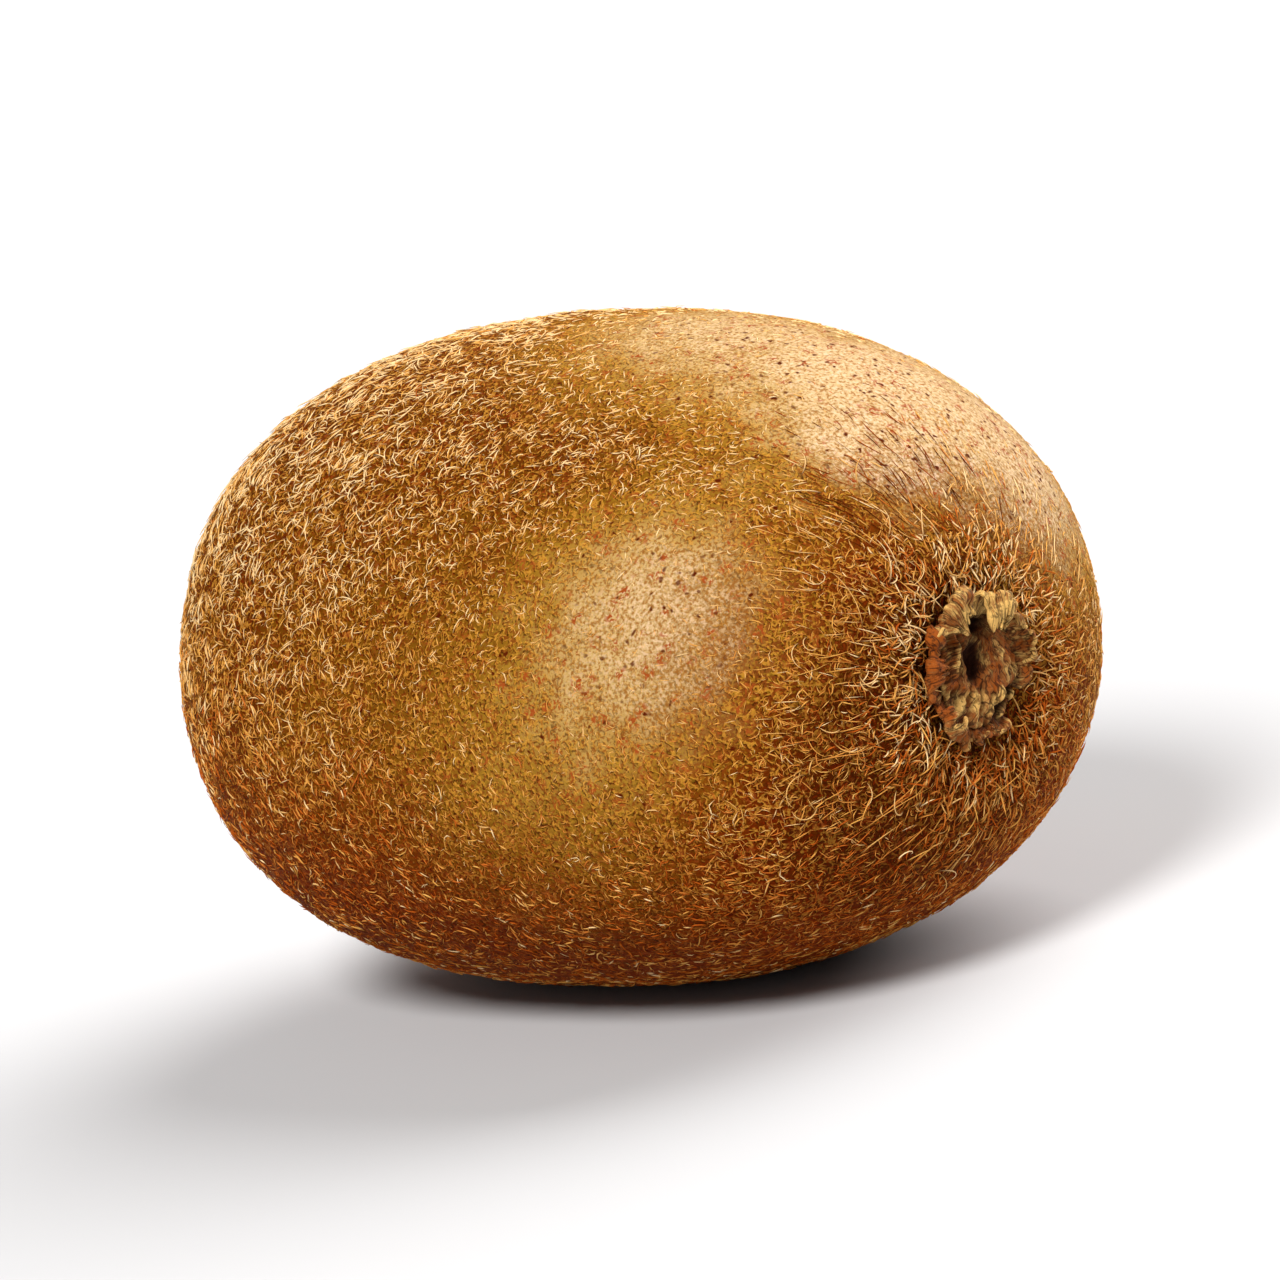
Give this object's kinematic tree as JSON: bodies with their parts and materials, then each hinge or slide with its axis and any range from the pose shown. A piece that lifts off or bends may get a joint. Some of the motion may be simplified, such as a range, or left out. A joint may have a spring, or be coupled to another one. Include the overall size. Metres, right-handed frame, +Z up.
{
  "type": "kiwi fruit",
  "caption": "Whole hairy brown kiwi fruit lying on its side, with the dried calyx round the stem scar and the dried style remains at the blossom end.",
  "frame": {"origin": "middle of the underside of the whole object's box, on the surface that the fruit lies on", "axes": "+X along the fruit's length towards its stem end, +Y across it, +Z up"},
  "size_m": [0.0728, 0.053, 0.046],
  "materials": {
    "skin": "matt brown-olive skin under short golden-brown hairs",
    "calyx": "dry, fibrous and matt, paler along the torn edges",
    "styles": "dry, dark and matt"
  },
  "bodies": {
    "root": {"fruit": "skin", "calyx": "calyx", "style_remains": "styles"}
  },
  "joints": []
}
